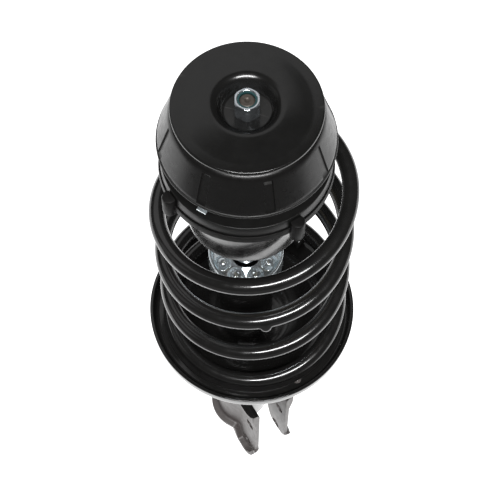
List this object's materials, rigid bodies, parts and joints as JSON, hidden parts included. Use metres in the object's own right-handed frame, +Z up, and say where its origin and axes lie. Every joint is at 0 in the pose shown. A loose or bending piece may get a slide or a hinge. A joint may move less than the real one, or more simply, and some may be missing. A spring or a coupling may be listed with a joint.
{
  "type": "suspension strut assembly",
  "caption": "Coil-over suspension strut with a conical rubber top mount, dished washer, coil spring, lower spring pan, damper tube and a two-eared knuckle bracket.",
  "frame": {"origin": "on the strut's axis, in the plane where the washer and the rubber cone clamp the body tower", "axes": "+Z up along the strut's axis; the knuckle ears reach towards -Y and their bolts lie along X"},
  "size_m": [0.1942, 0.1942, 0.6479],
  "materials": {
    "zinc": "bright zinc plate",
    "nylon": "moulded nylon",
    "satin_black_steel": "satin black coating",
    "plain_steel": "bare steel",
    "bearing_steel": "ground steel",
    "mount_rubber": "matte moulded rubber",
    "isolator_rubber": "matte rubber",
    "gloss_black_paint": "gloss black paint",
    "spring_coating": "gloss black epoxy coat",
    "foam": "microcellular foam",
    "chrome_rod": "hard chrome",
    "sintered": "sintered iron",
    "bearing_liner": "PTFE liner"
  },
  "bodies": {
    "strut_body": {"strut_tube": "gloss_black_paint", "tube_base": "gloss_black_paint", "striker_cap": "zinc", "rod_seal": "isolator_rubber", "rod_guide": "sintered", "guide_bush": "bearing_liner", "pressure_tube": "plain_steel", "foot_valve": "sintered", "lower_spring_seat": "gloss_black_paint", "lower_spring_pad": "isolator_rubber", "coil_spring": "spring_coating", "knuckle_bracket": "gloss_black_paint"},
    "upper_seat": {"upper_spring_seat": "gloss_black_paint", "upper_spring_isolator": "isolator_rubber", "bump_stop_bell": "gloss_black_paint", "bump_stop_cup": "plain_steel", "bump_stop": "foam", "bearing_lower_race": "bearing_steel"},
    "bearing_cage": {"bearing_cage": "nylon", "bearing_balls": "bearing_steel"},
    "mount": {"rod_nut": "zinc", "nut_insert": "nylon", "rebound_washer": "satin_black_steel", "mount_sleeve": "plain_steel", "mount_rubber": "mount_rubber", "mount_base_plate": "satin_black_steel", "housing_clips": "zinc", "bearing_upper_race": "bearing_steel", "piston_rod": "chrome_rod", "rebound_stop": "plain_steel", "rebound_pad": "isolator_rubber", "piston": "sintered", "piston_band": "bearing_liner", "valve_shims": "plain_steel", "piston_nut": "plain_steel"}
  },
  "joints": [
    {"name": "damper_slide", "type": "slide", "parent": "strut_body", "child": "upper_seat", "axis": [0, 0, -1], "range_m": [0, 0.095], "stiffness_N_per_m": 26000, "springref_m": -0.055, "deforming": ["coil_spring", "bump_stop"]},
    {"name": "steer_swivel", "type": "hinge", "parent": "upper_seat", "child": "mount", "pos_m": [0, 0, -0.0525], "axis": [0, 0, 1], "range_deg": [-40, 40]},
    {"name": "cage_swivel", "type": "hinge", "parent": "upper_seat", "child": "bearing_cage", "pos_m": [0, 0, -0.0525], "axis": [0, 0, 1], "range_deg": [-20, 20]}
  ],
  "couplings": [
    {"joint": "cage_swivel", "follows": "steer_swivel", "ratio": 0.5}
  ]
}
